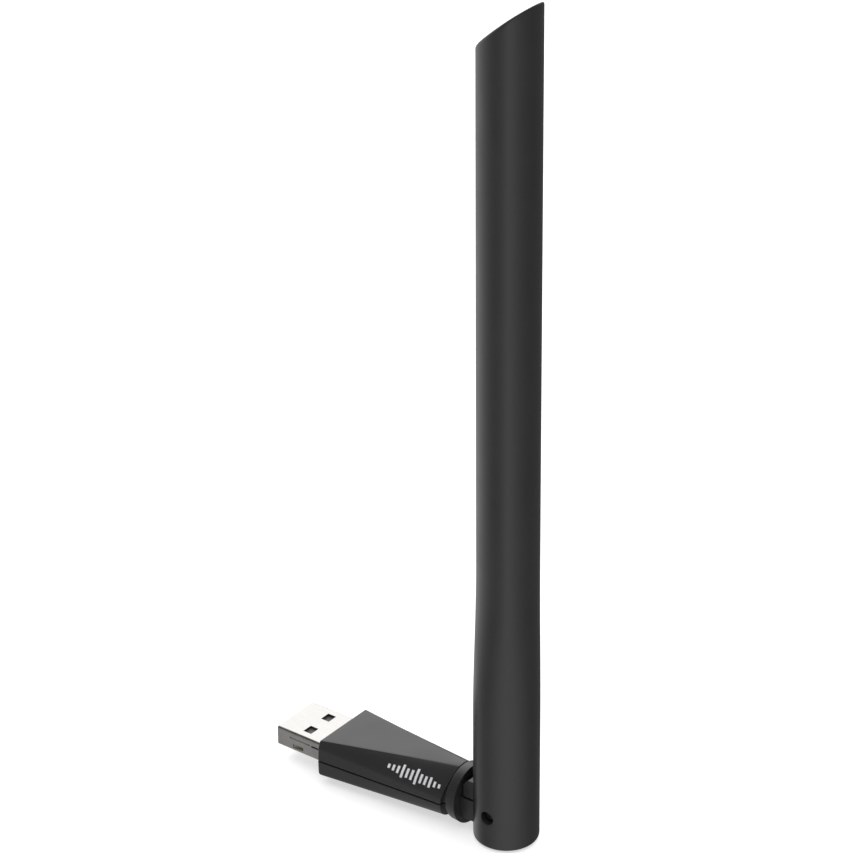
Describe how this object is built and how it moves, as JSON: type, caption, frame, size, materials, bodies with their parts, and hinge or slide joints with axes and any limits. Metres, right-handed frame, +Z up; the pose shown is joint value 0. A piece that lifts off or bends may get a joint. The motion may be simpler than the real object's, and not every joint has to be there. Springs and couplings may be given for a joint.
{
  "type": "usb wifi adapter",
  "caption": "USB stick network adapter with a tall rod antenna that folds from in line to upright on a knuckle that swivels in the end of the stick.",
  "frame": {"origin": "centre of the USB plug's mouth, where the plug leaves its port", "axes": "+X runs along the stick from the plug to the antenna, +Z is up along the antenna in its upright position, -Y is the side that shows the hinge pin's marked end"},
  "size_m": [0.0619, 0.0168, 0.1821],
  "materials": {
    "satin_black": "satin moulded plastic with a very fine texture",
    "plug_steel": "nickel plated, smooth",
    "insulator": "matt moulded plastic",
    "gold_contact": "gold plated",
    "board_green": "solder mask",
    "chip_epoxy": "matt epoxy",
    "tin_can": "satin",
    "ceramic": "matt ceramic",
    "ferrite": "matt",
    "pin_steel": "dark satin",
    "copper": "bare copper foil",
    "white_nylon": "matt",
    "coax_jacket": "satin"
  },
  "bodies": {
    "adapter": {"usb_shell": "plug_steel", "usb_tongue": "insulator", "usb_contact_1": "gold_contact", "usb_contact_2": "gold_contact", "usb_contact_3": "gold_contact", "usb_contact_4": "gold_contact", "housing_top": "satin_black", "housing_bottom": "satin_black", "circuit_board": "board_green", "radio_chip": "chip_epoxy", "crystal": "tin_can", "power_regulator": "chip_epoxy", "power_inductor": "ferrite", "capacitor_1": "ceramic", "capacitor_2": "ceramic", "capacitor_3": "ceramic", "capacitor_4": "ceramic", "coax_in_housing": "coax_jacket"},
    "knuckle": {"knuckle_base": "satin_black", "knuckle_cover": "satin_black", "coax_at_hinge": "coax_jacket"},
    "antenna": {"antenna_sleeve": "satin_black", "hinge_pin": "pin_steel", "strip_holder": "white_nylon", "antenna_strip": "board_green", "element_lower": "copper", "element_upper": "copper", "coax_in_antenna": "coax_jacket"}
  },
  "joints": [
    {"name": "knuckle_swivel", "type": "hinge", "parent": "adapter", "child": "knuckle", "pos_m": [0.05515, 0, 0.00093], "axis": [1, 0, 0], "range_deg": [-90, 90]},
    {"name": "antenna_fold", "type": "hinge", "parent": "knuckle", "child": "antenna", "pos_m": [0.05515, 0, 0.00172], "axis": [0, 1, 0], "range_deg": [0, 90], "deforming": ["coax_at_hinge"]}
  ]
}
